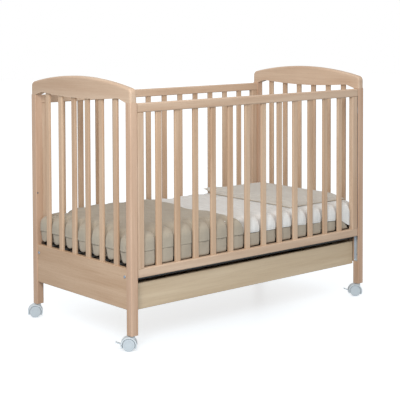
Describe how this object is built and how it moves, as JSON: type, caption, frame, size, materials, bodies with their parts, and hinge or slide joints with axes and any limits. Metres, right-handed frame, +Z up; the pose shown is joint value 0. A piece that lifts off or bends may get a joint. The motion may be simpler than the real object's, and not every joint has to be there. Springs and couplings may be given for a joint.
{
  "type": "baby crib",
  "caption": "Slatted beech baby crib with curved end rails, a drop side, a drawer under the base, braked swivel casters, and a dressed mattress.",
  "frame": {"origin": "on the floor, midway between the four posts", "axes": "+X towards the head end, +Y to the back (the drop side and the drawer face -Y), +Z up"},
  "size_m": [1.3147, 0.6815, 0.9794],
  "materials": {
    "beech": "clear satin lacquer",
    "drawer_wood": "satin veneer",
    "drawer_panel": "thin hardboard",
    "plain_wood": "unlacquered beech",
    "track_metal": "satin anodised",
    "zinc": "bright zinc",
    "black_steel": "gloss black",
    "black_plastic": "matt",
    "white_plastic": "light grey white",
    "wheel_plastic": "light grey",
    "pin_steel": "plain",
    "fitted_sheet": "taupe cotton",
    "duvet_cloth": "taupe cotton with fine ribs",
    "sheet_cloth": "white cotton",
    "pillow_cloth": "pale greige cotton"
  },
  "bodies": {
    "crib": {"post_front_left": "beech", "post_front_right": "beech", "post_rear_left": "beech", "post_rear_right": "beech", "end_rail_left": "beech", "end_rail_right": "beech", "end_board_left": "beech", "end_board_right": "beech", "end_slats_left": "beech", "end_slats_right": "beech", "rear_side_top_rail": "beech", "rear_side_bottom_rail": "beech", "rear_side_stile_left": "beech", "rear_side_stile_right": "beech", "rear_side_slats": "beech", "guide_track_left": "track_metal", "guide_track_right": "track_metal", "track_screws": "zinc", "base_frame": "black_steel", "deck_slats": "plain_wood", "deck_slat_caps": "black_plastic", "base_bolts": "zinc", "height_inserts": "zinc", "dowels": "plain_wood", "drawer_track_left": "track_metal", "drawer_track_right": "track_metal", "caster_sockets": "white_plastic", "mattress": "fitted_sheet", "duvet": "duvet_cloth", "top_sheet": "sheet_cloth", "pillow": "pillow_cloth"},
    "drop_side": {"drop_side_top_rail": "beech", "drop_side_bottom_rail": "beech", "drop_side_stile_left": "beech", "drop_side_stile_right": "beech", "drop_side_slats": "beech", "drop_side_runners": "white_plastic"},
    "drawer": {"drawer_front": "drawer_wood", "drawer_back": "drawer_wood", "drawer_side_left": "drawer_wood", "drawer_side_right": "drawer_wood", "drawer_bottom": "drawer_panel", "drawer_runner_left": "plain_wood", "drawer_runner_right": "plain_wood"},
    "caster_front_left_swivel": {"caster_front_left_hood": "white_plastic", "caster_front_left_pins": "pin_steel"},
    "caster_front_left_wheels": {"caster_front_left_wheels": "wheel_plastic"},
    "caster_front_left_brake": {"caster_front_left_brake": "white_plastic"},
    "caster_front_right_swivel": {"caster_front_right_hood": "white_plastic", "caster_front_right_pins": "pin_steel"},
    "caster_front_right_wheels": {"caster_front_right_wheels": "wheel_plastic"},
    "caster_front_right_brake": {"caster_front_right_brake": "white_plastic"},
    "caster_rear_left_swivel": {"caster_rear_left_hood": "white_plastic", "caster_rear_left_pins": "pin_steel"},
    "caster_rear_left_wheels": {"caster_rear_left_wheels": "wheel_plastic"},
    "caster_rear_right_swivel": {"caster_rear_right_hood": "white_plastic", "caster_rear_right_pins": "pin_steel"},
    "caster_rear_right_wheels": {"caster_rear_right_wheels": "wheel_plastic"}
  },
  "joints": [
    {"name": "drop_side_slide", "type": "slide", "parent": "crib", "child": "drop_side", "axis": [0, 0, 1], "range_m": [-0.108, 0]},
    {"name": "drawer_slide", "type": "slide", "parent": "crib", "child": "drawer", "axis": [0, -1, 0], "range_m": [0, 0.4]},
    {"name": "caster_front_left_swivel_turn", "type": "hinge", "parent": "crib", "child": "caster_front_left_swivel", "pos_m": [-0.6095, -0.3105, 0.07], "axis": [0, 0, 1], "continuous": true},
    {"name": "caster_front_left_roll", "type": "hinge", "parent": "caster_front_left_swivel", "child": "caster_front_left_wheels", "pos_m": [-0.61936, -0.30202, 0.0225], "axis": [-0.6521, -0.7581, 0], "continuous": true},
    {"name": "caster_front_left_brake_press", "type": "hinge", "parent": "caster_front_left_swivel", "child": "caster_front_left_brake", "pos_m": [-0.63981, -0.28443, 0.02344], "axis": [-0.6521, -0.7581, 0], "range_deg": [0, 16]},
    {"name": "caster_front_right_swivel_turn", "type": "hinge", "parent": "crib", "child": "caster_front_right_swivel", "pos_m": [0.6095, -0.3105, 0.07], "axis": [0, 0, 1], "continuous": true},
    {"name": "caster_front_right_roll", "type": "hinge", "parent": "caster_front_right_swivel", "child": "caster_front_right_wheels", "pos_m": [0.59964, -0.30202, 0.0225], "axis": [-0.6521, -0.7581, 0], "continuous": true},
    {"name": "caster_front_right_brake_press", "type": "hinge", "parent": "caster_front_right_swivel", "child": "caster_front_right_brake", "pos_m": [0.57919, -0.28443, 0.02344], "axis": [-0.6521, -0.7581, 0], "range_deg": [0, 16]},
    {"name": "caster_rear_left_swivel_turn", "type": "hinge", "parent": "crib", "child": "caster_rear_left_swivel", "pos_m": [-0.6095, 0.3105, 0.07], "axis": [0, 0, 1], "continuous": true},
    {"name": "caster_rear_left_roll", "type": "hinge", "parent": "caster_rear_left_swivel", "child": "caster_rear_left_wheels", "pos_m": [-0.62052, 0.31739, 0.0225], "axis": [-0.5299, -0.848, 0], "continuous": true},
    {"name": "caster_rear_right_swivel_turn", "type": "hinge", "parent": "crib", "child": "caster_rear_right_swivel", "pos_m": [0.6095, 0.3105, 0.07], "axis": [0, 0, 1], "continuous": true},
    {"name": "caster_rear_right_roll", "type": "hinge", "parent": "caster_rear_right_swivel", "child": "caster_rear_right_wheels", "pos_m": [0.62076, 0.304, 0.0225], "axis": [0.5, 0.866, 0], "continuous": true}
  ]
}
